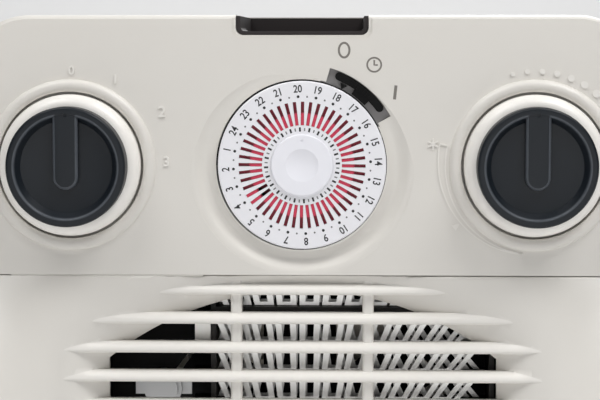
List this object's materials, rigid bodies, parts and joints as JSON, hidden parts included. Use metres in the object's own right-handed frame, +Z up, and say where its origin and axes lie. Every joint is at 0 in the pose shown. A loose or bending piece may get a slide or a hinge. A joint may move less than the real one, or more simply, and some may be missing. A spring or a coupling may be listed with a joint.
{
  "type": "electric fan heater",
  "caption": "Upright box-shaped electric fan heater with tappet timer dial, rotary selector, thermostat knob, slide switch, slatted air outlet and carry pocket.",
  "frame": {"origin": "middle of the bounding box on the plane the feet stand on", "axes": "+Z up, front with the controls faces -Y, +X to the right seen from the front"},
  "size_m": [0.272, 0.134, 0.3],
  "materials": {
    "cream_shell": "satin, fine texture",
    "cream_knob": "satin",
    "white_dial": "semi-gloss with black printed figures",
    "red_tappet": "satin",
    "charcoal": "satin",
    "black_plastic": "matt",
    "grey_plastic": "matt",
    "rubber": "matt",
    "zinc_steel": "zinc plated",
    "lamination": "varnished steel",
    "copper_coil": "enamelled copper wire under tape",
    "brass": "bright",
    "ceramic": "unglazed",
    "mica": "mica board",
    "ribbon": "bright resistance strip",
    "nylon": "satin"
  },
  "bodies": {
    "housing": {"rear_housing": "cream_shell", "control_panel": "cream_shell", "front_grille": "cream_shell", "handle_cup": "black_plastic", "selector_switch": "black_plastic", "selector_terminals": "brass", "thermostat_frame": "zinc_steel", "thermostat_bimetal": "zinc_steel", "thermostat_contact": "brass", "timer_case": "black_plastic", "timer_post": "zinc_steel", "time_pointer": "black_plastic", "switch_floor": "grey_plastic", "slide_switch": "black_plastic", "timer_contact": "black_plastic", "timer_motor": "nylon", "air_duct": "black_plastic", "motor_stator": "lamination", "motor_coil": "copper_coil", "motor_front_bracket": "zinc_steel", "motor_rear_bracket": "zinc_steel", "motor_screws": "zinc_steel", "heater_frame": "mica", "heater_block": "ceramic", "heater_ribbon": "ribbon", "thermal_cutout": "zinc_steel", "thermal_fuse": "ceramic", "terminal_block": "ceramic", "cord_gland": "black_plastic", "housing_screws": "zinc_steel", "duct_screws": "zinc_steel", "panel_screws": "zinc_steel", "rubber_feet": "rubber"},
    "selector": {"selector_skirt": "cream_knob", "selector_cap": "charcoal", "selector_spindle": "zinc_steel"},
    "thermostat": {"thermostat_skirt": "cream_knob", "thermostat_cap": "charcoal", "thermostat_spindle": "zinc_steel"},
    "dial": {"timer_dial": "white_dial", "timer_cap": "white_dial", "dial_wheel": "nylon", "tappets": "red_tappet"},
    "tappet_a": {"tappet_a": "red_tappet"},
    "tappet_b": {"tappet_b": "red_tappet"},
    "tappet_c": {"tappet_c": "red_tappet"},
    "tappet_d": {"tappet_d": "red_tappet"},
    "tappet_e": {"tappet_e": "red_tappet"},
    "tappet_f": {"tappet_f": "red_tappet"},
    "slider": {"switch_slider": "black_plastic"},
    "feeler": {"feeler_lever": "nylon"},
    "idler": {"idler_gear": "nylon"},
    "pinion": {"drive_pinion": "brass"},
    "fan": {"fan_wheel": "black_plastic", "motor_shaft": "zinc_steel", "motor_rotor": "lamination"}
  },
  "joints": [
    {"name": "selector_turn", "type": "hinge", "parent": "housing", "child": "selector", "pos_m": [-0.093, -0.05, 0.24], "axis": [0, 1, 0], "range_deg": [0, 90]},
    {"name": "thermostat_turn", "type": "hinge", "parent": "housing", "child": "thermostat", "pos_m": [0.093, -0.05, 0.24], "axis": [0, 1, 0], "range_deg": [0, 280]},
    {"name": "timer_dial_turn", "type": "hinge", "parent": "housing", "child": "dial", "pos_m": [0, -0.05, 0.24], "axis": [0, 1, 0], "continuous": true},
    {"name": "tappet_a_slide", "type": "slide", "parent": "dial", "child": "tappet_a", "axis": [-0.6163, 0, -0.7875], "range_m": [0, 0.0045]},
    {"name": "tappet_b_slide", "type": "slide", "parent": "dial", "child": "tappet_b", "axis": [-0.7139, 0, -0.7003], "range_m": [0, 0.0045]},
    {"name": "tappet_c_slide", "type": "slide", "parent": "dial", "child": "tappet_c", "axis": [-0.7992, 0, -0.6011], "range_m": [-0.0045, 0]},
    {"name": "tappet_d_slide", "type": "slide", "parent": "dial", "child": "tappet_d", "axis": [-0.8708, 0, -0.4917], "range_m": [-0.0045, 0]},
    {"name": "tappet_e_slide", "type": "slide", "parent": "dial", "child": "tappet_e", "axis": [-0.9275, 0, -0.3738], "range_m": [0, 0.0045]},
    {"name": "tappet_f_slide", "type": "slide", "parent": "dial", "child": "tappet_f", "axis": [-0.9684, 0, -0.2495], "range_m": [0, 0.0045]},
    {"name": "switch_slide", "type": "hinge", "parent": "housing", "child": "slider", "pos_m": [0, -0.05, 0.24], "axis": [0, 1, 0], "range_deg": [-4, 4]},
    {"name": "feeler_turn", "type": "hinge", "parent": "housing", "child": "feeler", "pos_m": [0.02741, -0.046, 0.2522], "axis": [0, 1, 0], "range_deg": [0, 5], "stiffness_Nm_per_rad": 0.01, "springref_deg": -5.73},
    {"name": "idler_turn", "type": "hinge", "parent": "housing", "child": "idler", "pos_m": [0.01155, -0.04, 0.21999], "axis": [0, 1, 0], "continuous": true},
    {"name": "pinion_turn", "type": "hinge", "parent": "housing", "child": "pinion", "pos_m": [0.00555, -0.04, 0.23039], "axis": [0, 1, 0], "continuous": true},
    {"name": "fan_spin", "type": "hinge", "parent": "housing", "child": "fan", "pos_m": [0, 0.01, 0.1125], "axis": [0, 1, 0], "continuous": true}
  ],
  "couplings": [
    {"joint": "idler_turn", "follows": "timer_dial_turn", "ratio": -4.5},
    {"joint": "pinion_turn", "follows": "timer_dial_turn", "ratio": 13.5}
  ]
}
